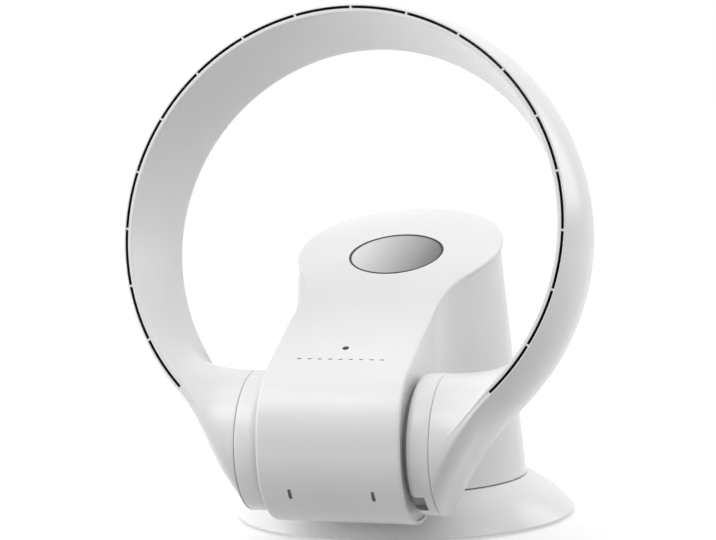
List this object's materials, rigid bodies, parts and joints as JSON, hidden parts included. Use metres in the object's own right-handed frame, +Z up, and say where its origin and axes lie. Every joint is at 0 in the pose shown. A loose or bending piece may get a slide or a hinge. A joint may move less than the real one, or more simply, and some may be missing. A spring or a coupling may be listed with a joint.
{
  "type": "bladeless fan",
  "caption": "Table fan without open blades: a wide air ring tilts in front of a tapered column that swivels on a round base.",
  "frame": {"origin": "where the swivel axis meets the surface the fan stands on", "axes": "+Z up along the swivel axis, -Y the way the air blows, +X towards the object's right in a view from the front"},
  "size_m": [0.3564, 0.3411, 0.4074],
  "materials": {
    "white_gloss": "polished white moulding",
    "white_satin": "white moulding, fine texture",
    "dark_moulding": "black moulding, fine texture",
    "dark_gloss": "dark infrared window",
    "duct_grey": "mid grey moulding",
    "impeller_black": "glass filled black moulding",
    "bearing_plastic": "natural acetal",
    "bearing_brass": "sintered, oiled",
    "screw_steel": "zinc plated",
    "ballast_iron": "pressed, bare",
    "motor_aluminium": "turned",
    "circuit_board": "green lacquer",
    "filter_mesh": "fine dark mesh",
    "soft_rubber": "matt rubber",
    "display_face": "polished metal coated face",
    "mark_grey": "printed grey"
  },
  "bodies": {
    "base": {"base_cover": "white_gloss", "base_plate": "white_satin", "ballast_ring": "ballast_iron", "rubber_feet": "soft_rubber", "base_screws": "screw_steel", "power_inlet": "dark_moulding", "thrust_ring": "bearing_plastic", "swivel_gear": "bearing_plastic", "gear_retainer": "screw_steel", "retainer_screws": "screw_steel"},
    "housing": {"housing_floor": "white_satin", "swivel_bush": "bearing_plastic", "floor_screws": "screw_steel", "housing_shell": "white_gloss", "rear_grille": "white_gloss", "dust_filter": "filter_mesh", "front_cover": "white_gloss", "display_bezel": "dark_moulding", "display_window": "display_face", "display_board": "circuit_board", "display_carrier": "white_satin", "receiver_lens": "dark_gloss", "level_marks": "mark_grey", "fan_bulkhead": "duct_grey", "fan_shroud": "duct_grey", "guide_vanes": "duct_grey", "motor_damper": "soft_rubber", "motor_case": "motor_aluminium", "motor_stator": "ballast_iron", "motor_bearings": "bearing_brass", "air_duct": "duct_grey", "air_tube": "duct_grey", "right_collar": "white_gloss", "left_collar": "white_gloss", "right_bush": "bearing_plastic", "left_bush": "bearing_plastic", "control_board": "circuit_board", "swing_motor": "motor_aluminium"},
    "swing_pinion": {"swing_pinion": "bearing_plastic"},
    "impeller": {"impeller": "impeller_black", "motor_shaft": "screw_steel", "motor_rotor": "ballast_iron", "impeller_nut": "bearing_brass"},
    "ring": {"ring_outer_shell": "white_gloss", "ring_inner_shell": "white_gloss", "slot_ribs": "white_satin", "right_leg": "white_gloss", "left_leg": "white_gloss", "right_hub_retainer": "white_satin", "left_hub_retainer": "white_satin", "joint_seals": "soft_rubber"}
  },
  "joints": [
    {"name": "base_swivel", "type": "hinge", "parent": "base", "child": "housing", "pos_m": [0, 0, 0], "axis": [0, 0, 1], "range_deg": [-45, 45]},
    {"name": "ring_tilt", "type": "hinge", "parent": "housing", "child": "ring", "pos_m": [0, -0.1466, 0.0801], "axis": [-1, 0, 0], "range_deg": [-24, 76]},
    {"name": "impeller_spin", "type": "hinge", "parent": "housing", "child": "impeller", "pos_m": [0, 0, 0.112], "axis": [0, -1, 0], "continuous": true},
    {"name": "pinion_spin", "type": "hinge", "parent": "housing", "child": "swing_pinion", "pos_m": [0, 0.0525, 0.038], "axis": [0, 0, 1], "range_deg": [-270, 270]}
  ],
  "couplings": [
    {"joint": "pinion_spin", "follows": "base_swivel", "ratio": 6}
  ]
}
